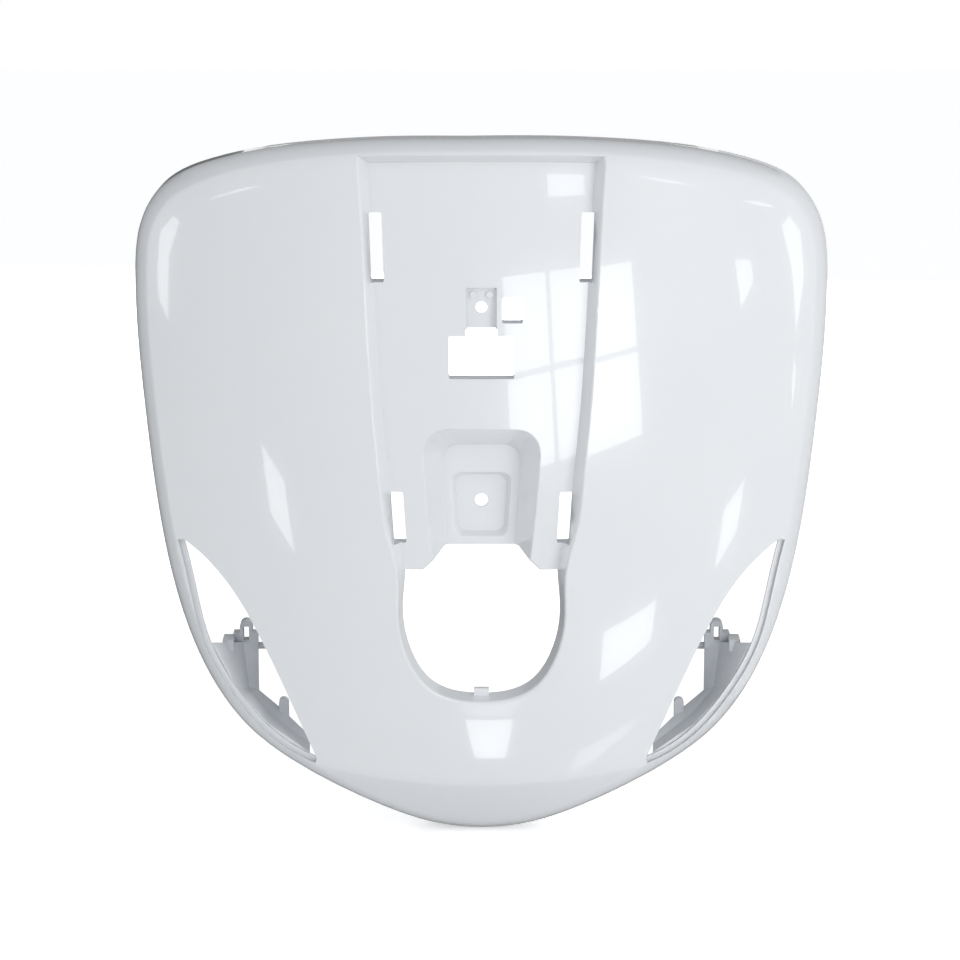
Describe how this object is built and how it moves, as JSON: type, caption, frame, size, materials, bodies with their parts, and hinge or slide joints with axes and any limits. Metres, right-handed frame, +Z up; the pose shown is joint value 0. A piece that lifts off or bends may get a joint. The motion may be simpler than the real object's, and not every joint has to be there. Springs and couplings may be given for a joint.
{
  "type": "scooter front panel",
  "caption": "Moulded scooter front panel: a crowned shield with a centre channel, screw seats, slots, a steering-head opening and turn-signal openings.",
  "frame": {"origin": "middle of the main screw hole, on the front face of its seat", "axes": "-Y points out of the front of the panel along the main screw, +Z is up as fitted on the scooter, +X is to the viewer's right from the front"},
  "size_m": [0.4356, 0.1016, 0.4541],
  "materials": {
    "gloss_white_plastic": "gloss"
  },
  "bodies": {
    "root": {"front_panel": "gloss_white_plastic"}
  },
  "joints": []
}
